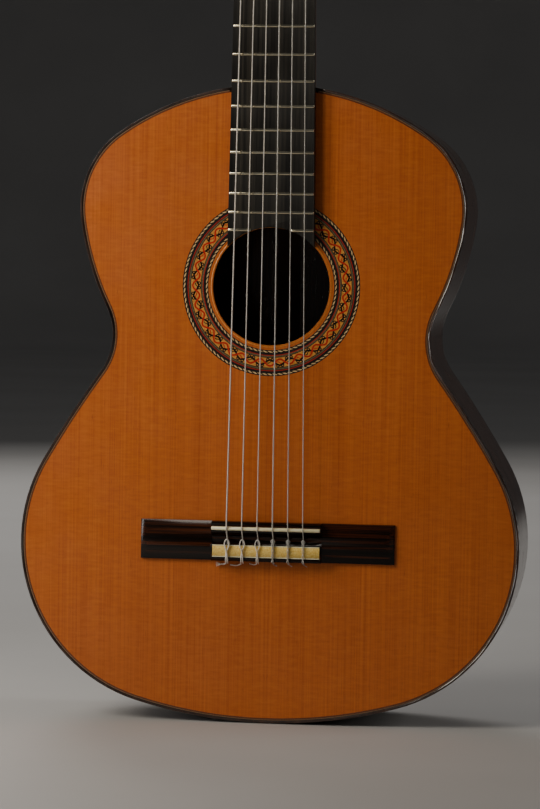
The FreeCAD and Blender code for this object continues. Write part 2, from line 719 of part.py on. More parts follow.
def gear(side, s):
    x0 = side * (GEAR_X - GEAR_T / 2.0)
    x1 = side * (GEAR_X + GEAR_T / 2.0)
    wheel = rod(GEAR_R, V(x0, 11, s), V(x1, 11, s))
    for k in range(GEAR_TEETH):
        a = 2.0 * math.pi * (k + 0.5) / GEAR_TEETH
        y = 11 + math.cos(a) * (GEAR_R + 0.35)
        z = s + math.sin(a) * (GEAR_R + 0.35)
        wheel = wheel.cut(rod(1.05, V(x0 - side, y, z), V(x1 + side, y, z)))
    shaft_end = rod(2.5, V(side * HEAD_HALF, 11, s), V(x0, 11, s))
    boss = rod(3.1, V(side * (HEAD_HALF + PLATE_T + 0.1), 11, s), V(x0, 11, s))
    screw = rod(2.4, V(x1, 11, s), V(x1 + side * 1.1, 11, s))
    slot = box(x1 + side * 1.1 - 0.6, x1 + side * 1.1 + 0.6, 10.65, 11.35, s - 4, s + 4)
    return wheel.fuse([shaft_end, boss, screw.cut(slot)]).removeSplitter()


def worm(side, s):
    x = side * GEAR_X
    ws = s - WORM_OFFSET
    spindle = rod(WORM_SHAFT_R, V(x, 3.4, ws), V(x, 28.0, ws))
    thread = rod(WORM_R, V(x, 6.6, ws), V(x, 15.6, ws))
    for k in range(3):
        y = 8.0 + 3.1 * k
        groove = rod(WORM_R + 1, V(x, y - 0.6, ws), V(x, y + 0.6, ws))
        groove = groove.cut(rod(2.2, V(x, y - 1, ws), V(x, y + 1, ws)))
        thread = thread.cut(groove)
    collar = rod(2.9, V(x, 17.95, ws), V(x, 19.4, ws))
    return spindle.fuse([thread, collar]).removeSplitter()


def button(side, s):
    """An oval finger button pressed on the end of the worm spindle."""
    x = side * GEAR_X
    ws = s - WORM_OFFSET
    neck_part = rod(3.4, V(x, 24.0, ws), V(x, 29.0, ws))
    oval = Part.makeSphere(1.0, V(0, 0, 0))
    m = FreeCAD.Matrix()
    m.scale(4.2, 8.6, 8.2)
    oval = oval.transformGeometry(m)
    oval.translate(V(x, 35.0, ws))
    solid = neck_part.fuse(oval)
    return solid.cut(rod(WORM_SHAFT_R, V(x, 20.0, ws), V(x, 28.0, ws)))


for n in range(1, 7):
    side = 1 if n <= 3 else -1
    row = n - 1 if n <= 3 else 6 - n
    s = ROLLER_S[row]
    barrel = rod(ROLLER_R, V(side * 2.0, 11, s), V(side * HEAD_HALF, 11, s))
    peg_hole = rod(0.8, V(side * 14.0, 0, s), V(side * 14.0, 22, s))
    save("roller_" + str(n), [to_head(barrel.cut(peg_hole))])
    save("gear_" + str(n), [to_head(gear(side, s))])
    save("worm_" + str(n), [to_head(worm(side, s))])
    save("button_" + str(n), [to_head(button(side, s))])
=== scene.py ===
import math

import bmesh
import bpy
from mathutils import Matrix, Vector


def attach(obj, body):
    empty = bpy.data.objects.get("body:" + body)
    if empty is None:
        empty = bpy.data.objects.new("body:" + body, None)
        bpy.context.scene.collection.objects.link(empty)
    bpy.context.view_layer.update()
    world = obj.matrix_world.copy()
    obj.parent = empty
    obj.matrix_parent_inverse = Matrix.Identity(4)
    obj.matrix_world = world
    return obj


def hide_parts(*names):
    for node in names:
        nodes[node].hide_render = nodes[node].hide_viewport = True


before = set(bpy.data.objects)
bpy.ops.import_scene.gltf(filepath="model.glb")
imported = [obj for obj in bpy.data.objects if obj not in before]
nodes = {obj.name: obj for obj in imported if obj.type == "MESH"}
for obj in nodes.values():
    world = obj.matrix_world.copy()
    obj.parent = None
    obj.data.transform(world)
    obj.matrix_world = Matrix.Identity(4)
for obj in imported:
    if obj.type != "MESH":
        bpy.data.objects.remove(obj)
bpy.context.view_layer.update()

MM = 0.001

# ------------------------------------------------------------------ dimensions
FRONT = -47.8
BODY_LENGTH = 467.6
NUT_Z = 794.4
SCALE = 650.0
SADDLE_Z = NUT_Z - SCALE - 1.0
HOLE_Z = 320.3
HOLE_R = 43.2
ROSETTE_IN = 46.4
ROSETTE_OUT = 65.4
HEAD_TILT = math.radians(14.0)
HEAD_O = (0.0, FRONT - 2.0, 799.4)
ROLLER_S = [42.0, 77.0, 112.0]
ROLLER_DEPTH = 11.0
ROLLER_R = 5.0
STRING_D = {1: 0.71, 2: 0.82, 3: 1.02, 4: 0.74, 5: 0.89, 6: 1.09}
SADDLE_X = {1: 27.6, 2: 16.5, 3: 5.3, 4: -6.0, 5: -17.3, 6: -28.6}
NUT_X = {1: 20.5, 2: 12.3, 3: 4.1, 4: -4.1, 5: -12.3, 6: -20.5}
SADDLE_TOP = 12.0
TIE_HOLE_H = 3.8
TIE_REAR = 24.6         # the string leaves the tie block here, behind the saddle
TIE_MOUTH = 11.6        # and enters it here
STRING_UNDER_AT_NUT = 7.6
NUT_HALF_T = 2.5
ROOT = "guitar"


# ---------------------------------------------------------------------- camera
def make_camera():
    """The photograph's viewpoint: 2.45 m away, a little to the treble side."""
    distance, focal = 2450.0, 3353.8
    yaw, pitch, roll = 0.143556, -0.051867, 0.0148269
    fwd = Vector((-math.sin(yaw) * math.cos(pitch), math.cos(yaw) * math.cos(pitch), math.sin(pitch)))
    right = Vector((math.cos(yaw), math.sin(yaw), 0.0))
    up = right.cross(fwd)
    r2 = math.cos(roll) * right + math.sin(roll) * up
    u2 = -math.sin(roll) * right + math.cos(roll) * up
    aim = Vector((0.437, FRONT, 90.81 + SADDLE_Z))
    pos = (aim - fwd * distance) * MM
    data = bpy.data.cameras.new("camera")
    data.sensor_width = 36.0
    data.lens = focal * 36.0 / 809.0
    data.clip_start = 0.05
    data.clip_end = 60.0
    cam = bpy.data.objects.new("camera", data)
    m = Matrix((
        (r2.x, u2.x, -fwd.x, pos.x),
        (r2.y, u2.y, -fwd.y, pos.y),
        (r2.z, u2.z, -fwd.z, pos.z),
        (0, 0, 0, 1),
    ))
    cam.matrix_world = m
    bpy.context.scene.collection.objects.link(cam)
    bpy.context.scene.camera = cam


make_camera()


# ------------------------------------------------------------ material toolkit
class Mat:
    """A small builder for node materials."""

    def __init__(self, name, **sockets):
        self.mat = bpy.data.materials.new(name)
        self.mat.use_nodes = True
        self.t = self.mat.node_tree
        self.bsdf = self.t.nodes["Principled BSDF"]
        for key, value in sockets.items():
            self.set(key.replace("_", " "), value)

    def set(self, key, value):
        if isinstance(value, tuple) and len(value) == 3:
            value = (*value, 1.0)
        self.bsdf.inputs[key].default_value = value

    def n(self, kind, **props):
        node = self.t.nodes.new("ShaderNode" + kind)
        for key, value in props.items():
            setattr(node, key, value)
        return node

    def put(self, socket, value):
        if hasattr(value, "links"):
            self.t.links.new(value, socket)
        else:
            if isinstance(value, tuple) and len(value) == 3 and len(socket.default_value) == 4:
                value = (*value, 1.0)
            socket.default_value = value

    def coords(self, scale=(1, 1, 1), mirror=False, offset=(0, 0, 0)):
        out = self.n("TexCoord").outputs["Object"]
        if mirror:
            sep = self.n("SeparateXYZ")
            self.put(sep.inputs[0], out)
            com = self.n("CombineXYZ")
            self.put(com.inputs[0], self.math("ABSOLUTE", sep.outputs[0]))
            self.put(com.inputs[1], sep.outputs[1])
            self.put(com.inputs[2], sep.outputs[2])
            out = com.outputs[0]
        m = self.n("Mapping")
        self.put(m.inputs["Vector"], out)
        m.inputs["Scale"].default_value = scale
        m.inputs["Location"].default_value = offset
        return m.outputs[0]

    def noise(self, vec, scale=1.0, detail=2.0, rough=0.5, warp=0.0):
        t = self.n("TexNoise")
        self.put(t.inputs["Vector"], vec)
        t.inputs["Scale"].default_value = scale
        t.inputs["Detail"].default_value = detail
        t.inputs["Roughness"].default_value = rough
        t.inputs["Distortion"].default_value = warp
        return t.outputs["Fac"]

    def math(self, op, a, b=0.0, c=0.0):
        m = self.n("Math", operation=op)
        self.put(m.inputs[0], a)
        self.put(m.inputs[1], b)
        self.put(m.inputs[2], c)
        return m.outputs[0]

    def ramp(self, fac, stops, ease="LINEAR"):
        r = self.n("ValToRGB")
        r.color_ramp.interpolation = ease
        while len(r.color_ramp.elements) < len(stops):
            r.color_ramp.elements.new(0.5)
        for e, (pos, col) in zip(r.color_ramp.elements, stops):
            e.position = pos
            if not isinstance(col, tuple):
                col = (col, col, col)
            e.color = (*col[:3], 1.0)
        self.put(r.inputs[0], fac)
        return r.outputs[0]

    def mix(self, fac, a, b, mode="MIX"):
        m = self.n("Mix", data_type="RGBA", blend_type=mode)
        self.put(m.inputs[0], fac)
        self.put(m.inputs[6], a)
        self.put(m.inputs[7], b)
        return m.outputs[2]

    def bump(self, height, strength=0.3, distance=0.0001, below=None):
        b = self.n("Bump")
        b.inputs["Strength"].default_value = strength
        b.inputs["Distance"].default_value = distance
        self.put(b.inputs["Height"], height)
        if below is not None:
            self.put(b.inputs["Normal"], below)
        return b.outputs[0]

    def color(self, value):
        self.put(self.bsdf.inputs["Base Color"], value)

    def rough(self, value):
        self.put(self.bsdf.inputs["Roughness"], value)

    def normal(self, value):
        self.put(self.bsdf.inputs["Normal"], value)


def stretch(axis, across, along):
    """Noise scales for a grain that runs along one axis, in cycles per metre."""
    out = [across, across, across]
    out["xyz".index(axis)] = along
    return tuple(out)


def cedar_material():
    m = Mat("cedar_top", Roughness=0.42, IOR=1.42, Coat_Weight=0.2, Coat_Roughness=0.2)
    fine = m.noise(m.coords(stretch("z", 900, 6), mirror=True), detail=2.0, rough=0.5)
    rings = m.noise(m.coords(stretch("z", 520, 2.6), mirror=True), detail=1.0, rough=0.4)
    broad = m.noise(m.coords(stretch("z", 34, 2.0), mirror=True), detail=2.0)
    silk = m.noise(m.coords((110, 110, 560), mirror=True), detail=2.0, rough=0.6)
    fleck = m.noise(m.coords(stretch("z", 1500, 110), mirror=True), detail=2.0, rough=0.5)
    cloud = m.noise(m.coords((7, 7, 9)), detail=3.0, rough=0.6)
    base = m.ramp(fine, [
        (0.30, (0.42, 0.086, 0.009)),
        (0.5, (0.52, 0.122, 0.014)),
        (0.70, (0.60, 0.155, 0.020)),
    ])
    base = m.mix(0.30, base, m.ramp(rings, [(0.32, (0.40, 0.080, 0.008)), (0.6, (0.58, 0.145, 0.018))]))
    base = m.mix(0.08, base, m.ramp(broad, [(0.3, (0.36, 0.074, 0.008)), (0.7, (0.60, 0.155, 0.020))]))
    base = m.mix(m.ramp(silk, [(0.50, 0.0), (0.70, 0.17)]), base, (0.74, 0.25, 0.042))
    base = m.mix(m.ramp(silk, [(0.30, 0.20), (0.47, 0.0)]), base, (0.30, 0.055, 0.006))
    base = m.mix(m.ramp(fleck, [(0.66, 0.0), (0.78, 0.5)]), base, (0.20, 0.038, 0.005))
    base = m.mix(m.ramp(cloud, [(0.3, 0.20), (0.7, 0.0)]), base, (0.34, 0.068, 0.007))
    m.color(base)
    m.rough(m.ramp(m.noise(m.coords((35, 35, 35)), detail=4.0), [(0.3, 0.36), (0.7, 0.46)]))
    m.normal(m.bump(fine, 0.12, 0.00006, m.bump(fleck, 0.1, 0.00004)))
    return m.mat


def rosewood(name, axis, mirror=False, tint=(1.0, 1.0, 1.0), gloss=0.2, coat=0.6, lift=1.0):
    m = Mat(name, Roughness=gloss, IOR=1.5, Coat_Weight=coat, Coat_Roughness=0.06)
    warp = m.noise(m.coords(stretch(axis, 60, 6), mirror=mirror), scale=1.0, detail=3.0)
    flow = m.noise(m.coords(stretch(axis, 150, 3.4), mirror=mirror), detail=4.0, rough=0.62, warp=0.35)
    fine = m.noise(m.coords(stretch(axis, 900, 14), mirror=mirror), detail=3.0, rough=0.6)
    pore = m.noise(m.coords(stretch(axis, 2300, 130), mirror=mirror), detail=2.0)

    def c(r, g, b):
        return (r * tint[0] * lift, g * tint[1] * lift, b * tint[2] * lift)

    base = m.ramp(flow, [
        (0.30, c(0.010, 0.0055, 0.004)),
        (0.43, c(0.034, 0.015, 0.009)),
        (0.50, c(0.016, 0.008, 0.005)),
        (0.60, c(0.062, 0.026, 0.013)),
        (0.74, c(0.022, 0.010, 0.006)),
    ])
    base = m.mix(m.ramp(warp, [(0.4, 0.0), (0.7, 0.5)]), base, c(0.075, 0.030, 0.015))
    base = m.mix(m.ramp(fine, [(0.45, 0.0), (0.7, 0.5)]), base, c(0.008, 0.004, 0.003))
    base = m.mix(m.ramp(pore, [(0.62, 0.0), (0.72, 0.7)]), base, c(0.004, 0.002, 0.0015))
    m.color(base)
    m.rough(m.ramp(m.noise(m.coords((45, 45, 45)), detail=4.0), [(0.3, gloss), (0.7, gloss + 0.09)]))
    m.normal(m.bump(pore, 0.10, 0.00004))
    return m.mat


def bridge_material():
    """Near-black rosewood with a few red-brown streaks, polished."""
    m = Mat("rosewood_bridge", Roughness=0.15, IOR=1.5, Specular_IOR_Level=0.3)
    flow = m.noise(m.coords((3.2, 130, 230)), detail=3.0, rough=0.55, warp=0.3)
    fine = m.noise(m.coords((16, 900, 900)), detail=3.0, rough=0.6)
    pore = m.noise(m.coords((130, 2400, 2400)), detail=2.0)
    base = m.ramp(flow, [(0.40, (0.0035, 0.0022, 0.0015)), (0.52, (0.014, 0.0055, 0.0025)),
                         (0.60, (0.070, 0.018, 0.0055)), (0.68, (0.018, 0.0065, 0.003))])
    base = m.mix(m.ramp(fine, [(0.42, 0.0), (0.62, 0.75)]), base, (0.004, 0.0022, 0.0014))
    base = m.mix(m.ramp(pore, [(0.62, 0.0), (0.72, 0.7)]), base, (0.002, 0.0012, 0.001))
    m.color(base)
    m.rough(m.ramp(fine, [(0.3, 0.12), (0.7, 0.24)]))
    m.normal(m.bump(pore, 0.10, 0.00004))
    return m.mat


def ebony_material():
    m = Mat("ebony", Roughness=0.4, IOR=1.5, Specular_IOR_Level=0.4)
    streak = m.noise(m.coords(stretch("z", 330, 4)), detail=4.0, rough=0.6, warp=0.2)
    pore = m.noise(m.coords(stretch("z", 2600, 120)), detail=2.0)
    wear = m.noise(m.coords((60, 60, 22)), detail=4.0, rough=0.6)
    base = m.ramp(streak, [
        (0.36, (0.006, 0.0055, 0.005)),
        (0.5, (0.016, 0.0145, 0.012)),
        (0.66, (0.040, 0.034, 0.026)),
    ])
    base = m.mix(m.ramp(pore, [(0.6, 0.0), (0.7, 0.6)]), base, (0.004, 0.0035, 0.003))
    m.color(base)
    m.rough(m.ramp(wear, [(0.3, 0.34), (0.7, 0.50)]))
    m.normal(m.bump(pore, 0.15, 0.00005))
    return m.mat


def neck_material(name="neck_cedro", axis="z"):
    m = Mat(name, Roughness=0.34, IOR=1.45, Coat_Weight=0.3, Coat_Roughness=0.15)
    grain = m.noise(m.coords(stretch(axis, 190, 4)), detail=4.0, rough=0.6, warp=0.25)
    pore = m.noise(m.coords(stretch(axis, 1700, 110)), detail=2.0)
    ribbon = m.noise(m.coords((30, 60, 12)), detail=2.0)
    base = m.ramp(grain, [
        (0.3, (0.115, 0.040, 0.016)),
        (0.55, (0.175, 0.066, 0.026)),
        (0.75, (0.235, 0.096, 0.040)),
    ])
    base = m.mix(m.ramp(ribbon, [(0.35, 0.0), (0.7, 0.35)]), base, (0.27, 0.115, 0.048))
    base = m.mix(m.ramp(pore, [(0.6, 0.0), (0.7, 0.65)]), base, (0.045, 0.014, 0.006))
    m.color(base)
    m.rough(m.ramp(m.noise(m.coords((50, 50, 30)), detail=4.0), [(0.3, 0.30), (0.7, 0.42)]))
    m.normal(m.bump(pore, 0.12, 0.00005))
    return m.mat


def raw_wood(name, axis, dark, light, rough=0.65):
    m = Mat(name, Roughness=rough, IOR=1.4)
    fine = m.noise(m.coords(stretch(axis, 800, 9)), detail=3.0, rough=0.6)
    broad = m.noise(m.coords(stretch(axis, 60, 5)), detail=3.0)
    fuzz = m.noise(m.coords((1400, 1400, 1400)), detail=2.0)
    base = m.ramp(fine, [(0.3, dark), (0.7, light)])
    base = m.mix(m.ramp(broad, [(0.3, 0.0), (0.75, 0.35)]), base, dark)
    m.color(base)
    m.rough(m.ramp(fuzz, [(0.3, rough - 0.08), (0.7, rough + 0.1)]))
    m.normal(m.bump(fuzz, 0.15, 0.00005, m.bump(fine, 0.2, 0.00005)))
    return m.mat


def bone_material():
    m = Mat("bone", Roughness=0.3, IOR=1.5, Subsurface_Weight=0.1, Subsurface_Scale=0.001)
    m.bsdf.inputs["Subsurface Radius"].default_value = (1.0, 0.7, 0.45)
    speck = m.noise(m.coords((150, 700, 700)), detail=3.0)
    base = m.ramp(speck, [(0.3, (0.90, 0.80, 0.46)), (0.7, (1.0, 0.95, 0.68))])
    m.color(base)
    m.rough(m.ramp(m.noise(m.coords((300, 300, 300)), detail=3.0), [(0.3, 0.24), (0.7, 0.36)]))
    m.normal(m.bump(speck, 0.1, 0.00003))
    return m.mat


def mottled(name, dark, mid, light, scale, rough, coat=0.4):
    m = Mat(name, Roughness=rough, IOR=1.5, Coat_Weight=coat, Coat_Roughness=0.08)
    a = m.noise(m.coords((scale, scale, scale)), detail=4.0, rough=0.65, warp=0.8)
    b = m.noise(m.coords((scale * 3, scale * 3, scale * 3)), detail=3.0, warp=0.5)
    base = m.ramp(a, [(0.3, dark), (0.5, mid), (0.68, light)])
    base = m.mix(m.ramp(b, [(0.45, 0.0), (0.7, 0.5)]), base, dark)
    m.color(base)
    m.rough(m.ramp(b, [(0.3, rough), (0.7, rough + 0.12)]))
    m.normal(m.bump(b, 0.06, 0.00003))
    return m.mat


def metal(name, dark, light, rough, axis="x", scale=900):
    m = Mat(name, Roughness=rough, Metallic=1.0)
    scratch = m.noise(m.coords(stretch(axis, scale, scale * 0.04)), detail=3.0)
    tarnish = m.noise(m.coords((130, 130, 130)), detail=4.0, rough=0.6)
    m.color(m.mix(0.5, m.ramp(scratch, [(0.3, dark), (0.7, light)]),
                  m.ramp(tarnish, [(0.35, dark), (0.65, light)])))
    m.rough(m.ramp(tarnish, [(0.3, rough - 0.05), (0.7, rough + 0.12)]))
    m.normal(m.bump(scratch, 0.08, 0.00002))
    return m.mat


def nylon_material():
    m = Mat("string_nylon", Roughness=0.16, IOR=1.5, Transmission_Weight=0.5)
    v = m.noise(m.coords((400, 400, 30)), detail=2.0)
    m.color(m.ramp(v, [(0.3, (0.66, 0.63, 0.57)), (0.7, (0.82, 0.80, 0.74))]))
    m.rough(m.ramp(v, [(0.3, 0.14), (0.7, 0.22)]))
    m.normal(m.bump(v, 0.05, 0.00002))
    return m.mat


def wound_material():
    """Fine round winding: the turns follow the length stored in the tube's UV, with painted shade in the
    grooves between them.
    """
    m = Mat("string_wound", Roughness=0.34, Metallic=0.4)
    uv = m.n("UVMap", uv_map="along").outputs[0]
    wave = m.n("TexWave", wave_type="BANDS", bands_direction="X", wave_profile="SIN")
    m.put(wave.inputs["Vector"], uv)
    wave.inputs["Scale"].default_value = 2.6
    wave.inputs["Distortion"].default_value = 0.4
    wave.inputs["Detail"].default_value = 1.0
    tarnish = m.noise(m.coords((300, 300, 60)), detail=4.0)
    # the grooves between the turns are painted darker than the crowns: painted shade; the tarnish mixed in
    # below is real
    base = m.ramp(wave.outputs["Fac"], [(0.1, (0.42, 0.38, 0.32)), (0.6, (0.98, 0.93, 0.86))])
    base = m.mix(m.ramp(tarnish, [(0.45, 0.0), (0.8, 0.3)]), base, (0.60, 0.50, 0.38))
    m.color(base)
    m.rough(m.ramp(tarnish, [(0.3, 0.28), (0.7, 0.42)]))
    m.normal(m.bump(wave.outputs["Fac"], 0.6, 0.00008))
    return m.mat


def stain(name, dark, light, scale=900, rough=0.35):
    """Dyed veneer for the fine lines of rosette and purfling; the soundhole lip's lighter cedar, a painted
    highlight, is made with it too.
    """
    m = Mat(name, Roughness=rough, IOR=1.45, Coat_Weight=0.35, Coat_Roughness=0.12)
    v = m.noise(m.coords((scale, scale, scale)), detail=3.0, rough=0.6)
    m.color(m.ramp(v, [(0.3, dark), (0.7, light)]))
    m.rough(m.ramp(v, [(0.3, rough - 0.05), (0.7, rough + 0.05)]))
    m.normal(m.bump(v, 0.08, 0.00003))
    return m.mat


MAT = {
    "cedar": cedar_material(),
    "rosewood_back": rosewood("rosewood_back", "z", mirror=True, lift=1.6, tint=(1.15, 0.95, 0.85)),
    "rosewood_side": rosewood("rosewood_side", "z", lift=1.5, tint=(1.15, 0.95, 0.85)),
    "rosewood_trim": rosewood("rosewood_trim", "z", gloss=0.3, coat=1.0, lift=1.0),
    "rosewood_bridge": bridge_material(),
    "rosewood_veneer": rosewood("rosewood_veneer", "z", mirror=True, lift=1.1),
    "ebony": ebony_material(),
    "neck": neck_material(),
    "spruce_x": raw_wood("spruce_cross", "x", (0.42, 0.26, 0.12), (0.62, 0.44, 0.24)),
    "spruce_z": raw_wood("spruce_long", "z", (0.42, 0.26, 0.12), (0.62, 0.44, 0.24)),
    "lining": raw_wood("lining_cedro", "z", (0.23, 0.11, 0.05), (0.34, 0.18, 0.09)),
    "maple": raw_wood("maple_line", "z", (0.40, 0.24, 0.11), (0.55, 0.37, 0.19), 0.3),
    "bone": bone_material(),
    "seam": raw_wood("seam_cedro", "x", (0.050, 0.022, 0.010), (0.085, 0.038, 0.017)),
    "gold_inlay": mottled(
        "inlay_gold", (0.62, 0.36, 0.05), (0.92, 0.62, 0.14), (1.0, 0.86, 0.36), 1100, 0.28, 0.2),
    "pearl": mottled("button_pearl", (0.52, 0.45, 0.32), (0.70, 0.63, 0.48), (0.86, 0.82, 0.70), 160, 0.2),
    "roller": mottled(
        "roller_white", (0.60, 0.55, 0.43), (0.72, 0.67, 0.55), (0.80, 0.76, 0.65), 260, 0.35, 0.1),
    "nickel": metal("fret_nickel", (0.66, 0.58, 0.40), (1.0, 0.94, 0.72), 0.10, "x", 1500),
    "brass": metal("tuner_brass", (0.52, 0.33, 0.10), (0.83, 0.60, 0.24), 0.24, "z"),
    "steel": metal("gear_steel", (0.40, 0.29, 0.13), (0.72, 0.56, 0.28), 0.3, "x"),
    "nylon": nylon_material(),
    "wound": wound_material(),
    "black": stain("line_black", (0.006, 0.005, 0.005), (0.016, 0.013, 0.011)),
    "red": stain("line_red", (0.40, 0.010, 0.005), (0.58, 0.022, 0.010)),
    "green": stain("line_green", (0.050, 0.048, 0.022), (0.13, 0.115, 0.055)),
    "cream": stain("line_cream", (0.55, 0.36, 0.15), (0.82, 0.60, 0.30)),
    "gold": stain("mosaic_gold", (0.48, 0.19, 0.030), (0.78, 0.36, 0.07), 700),
    "tan": stain("line_tan", (0.20, 0.10, 0.045), (0.30, 0.17, 0.085)),
    "rust": stain("line_rust", (0.15, 0.036, 0.010), (0.24, 0.065, 0.020)),
    # the soundhole lip's cedar, lighter and glossier than the top: painted highlight on the rounded edge
    "edge": stain("cedar_edge_painted_highlight", (0.60, 0.19, 0.030), (0.80, 0.32, 0.07), 500, 0.22),
    "core": stain("nylon_core", (0.55, 0.52, 0.46), (0.72, 0.69, 0.62)),
}


# ------------------------------------------------------------- mesh code tools
def build(name, verts, faces, mats, body=ROOT, slot_name=None, smooth=True, mat_index=None, uvs=None):
    """One new piece from millimetre vertices; it rides on a body."""
    me = bpy.data.meshes.new(name)
    me.from_pydata([(v[0] * MM, v[1] * MM, v[2] * MM) for v in verts], [], faces)
    if not isinstance(mats, (list, tuple)):
        mats = [mats]
    for one in mats:
        me.materials.append(one)
    if mat_index is not None:
        for p, k in zip(me.polygons, mat_index):
            p.material_index = k
    if uvs is not None:
        layer = me.uv_layers.new(name="along")
        for loop in me.loops:
            layer.data[loop.index].uv = uvs[loop.vertex_index]
    me.validate()
    for p in me.polygons:
        p.use_smooth = smooth
    o = bpy.data.objects.new(name, me)
    bpy.context.scene.collection.objects.link(o)
    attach(o, body)
    return o


def tube_data(points, radius, sides=12, cap=True, start=0):
    """Rings carried along a path without twist, closed at both ends."""
    pts = [Vector(p) for p in points]
    tang = []
    for k in range(len(pts)):
        a = pts[max(k - 1, 0)]
        b = pts[min(k + 1, len(pts) - 1)]
        tang.append((b - a).normalized())
    ref = Vector((0, 0, 1)) if abs(tang[0].z) < 0.9 else Vector((1, 0, 0))
    side = tang[0].cross(ref).normalized()
    verts, uvs, faces = [], [], []
    length = 0.0
    for k, p in enumerate(pts):
        if k:
            length += (p - pts[k - 1]).length
            q = tang[k - 1].rotation_difference(tang[k])
            side = q @ side
        side = (side - tang[k] * side.dot(tang[k])).normalized()
        other = tang[k].cross(side)
        r = radius[k] if isinstance(radius, (list, tuple)) else radius
        for j in range(sides):
            a = 2 * math.pi * j / sides
            v = p + side * (math.cos(a) * r) + other * (math.sin(a) * r)
            verts.append(tuple(v))
            uvs.append((length, j / sides))
    for k in range(len(pts) - 1):
        for j in range(sides):
            a = start + k * sides + j
            b = start + k * sides + (j + 1) % sides
            faces.append((a, b, b + sides, a + sides))
    if cap:
        faces.append(tuple(start + j for j in reversed(range(sides))))
        last = start + (len(pts) - 1) * sides
        faces.append(tuple(last + j for j in range(sides)))
    return verts, faces, uvs


def smooth_path(points, steps=8):
    """A Catmull-Rom curve through given points."""
    pts = [Vector(p) for p in points]
    out = []
    for k in range(len(pts) - 1):
        p0 = pts[max(k - 1, 0)]
        p1 = pts[k]
        p2 = pts[k + 1]
        p3 = pts[min(k + 2, len(pts) - 1)]
        for j in range(steps):
            t = j / steps
            out.append(0.5 * ((2 * p1) + (p2 - p0) * t + (2 * p0 - 5 * p1 + 4 * p2 - p3) * t * t
                              + (3 * p1 - p0 - 3 * p2 + p3) * t ** 3))
    out.append(pts[-1])
    return out


def joined(name, parts, mats, **kw):
    """Several closed shells as one piece: parts are (verts, faces, uvs, material index)."""
    verts, faces, uvs, index = [], [], [], []
    for v, f, u, k in parts:
        base = len(verts)
        verts.extend(v)
        uvs.extend(u if u else [(0.0, 0.0)] * len(v))
        for face in f:
            faces.append(tuple(i + base for i in face))
            index.append(k)
    return build(name, verts, faces, mats, mat_index=index, uvs=uvs, **kw)


def softened(node, mat, width=0.35, segments=2, body=ROOT, angle=35.0, pick=None):
    """The node's own form with its hard edges eased, as a sanded or cast piece has."""
    src = nodes[node]
    me = src.data.copy()
    me.name = node + "_eased"
    bm = bmesh.new()
    bm.from_mesh(me)
    bmesh.ops.remove_doubles(bm, verts=bm.verts, dist=0.000004)
    bmesh.ops.dissolve_limit(bm, angle_limit=math.radians(0.6), verts=bm.verts, edges=bm.edges)
    for f in bm.faces:
        f.smooth = True
    if pick:
        weight = bm.edges.layers.float.new("bevel_weight_edge")
        for e in bm.edges:
            if len(e.link_faces) == 2 and e.calc_face_angle() > math.radians(angle) and pick(e):
                e[weight] = 1.0
    bm.to_mesh(me)
    bm.free()
    me.materials.clear()
    me.materials.append(mat)
    o = bpy.data.objects.new(node + "_eased", me)
    bpy.context.scene.collection.objects.link(o)
    bev = o.modifiers.new("ease", "BEVEL")
    bev.width = width * MM
    bev.segments = segments
    bev.limit_method = "WEIGHT" if pick else "ANGLE"
    bev.angle_limit = math.radians(angle)
    bev.use_clamp_overlap = True
    bev.harden_normals = True
    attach(o, body)
    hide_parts(node)
    return o


def assign(node, mat):
    o = nodes[node]
    o.data.materials.clear()
    o.data.materials.append(mat)


def head_point(x, depth, s):
    y = depth * math.cos(HEAD_TILT) + s * math.sin(HEAD_TILT)
    z = -depth * math.sin(HEAD_TILT) + s * math.cos(HEAD_TILT)
    return Vector((x, HEAD_O[1] + y, HEAD_O[2] + z))


# --------------------------------------------------- CAD nodes that keep shape
for node, key in {
    "soundboard_bass_half": "cedar",
    "soundboard_treble_half": "cedar",
    "back_bass_half": "rosewood_back",
    "back_treble_half": "rosewood_back",
    "back_centre_strip": "maple",
    "side_bass": "rosewood_side",
    "side_treble": "rosewood_side",
    "end_graft": "maple",
    "bindings": "rosewood_trim",
    "tail_block": "lining",
    "linings": "lining",
    "fan_braces": "spruce_z",
    "harmonic_bars": "spruce_x",
    "back_braces": "spruce_x",
    "back_seam_strip": "seam",
    "neck": "neck",
    "heel_cap": "rosewood_veneer",
    "fretboard": "ebony",
    "headstock": "neck",
    "head_veneer": "rosewood_veneer",
    "nut": "bone",
}.items():
    assign(node, MAT[key])
for n in range(1, 7):
    assign("roller_%d" % n, MAT["roller"])
    assign("gear_%d" % n, MAT["steel"])
    assign("worm_%d" % n, MAT["steel"])
    assign("button_%d" % n, MAT["pearl"])
for node in ("tuner_plate_bass", "tuner_plate_treble", "tuner_screws"):
    assign(node, MAT["brass"])


# -------------------------------------------------------------------- outline
def unit(p):
    size = math.hypot(p[0], p[1])
    return (p[0] / size, p[1] / size)


def circle_meet(a, ra, b, rb):
    dx, dz = b[0] - a[0], b[1] - a[1]
    d = math.hypot(dx, dz)
    t = (d * d + ra * ra - rb * rb) / (2 * d)
    h = math.sqrt(ra * ra - t * t)
    one = (a[0] + (t * dx - h * dz) / d, a[1] + (t * dz + h * dx) / d)
    two = (a[0] + (t * dx + h * dz) / d, a[1] + (t * dz - h * dx) / d)
    return one if one[0] < two[0] else two


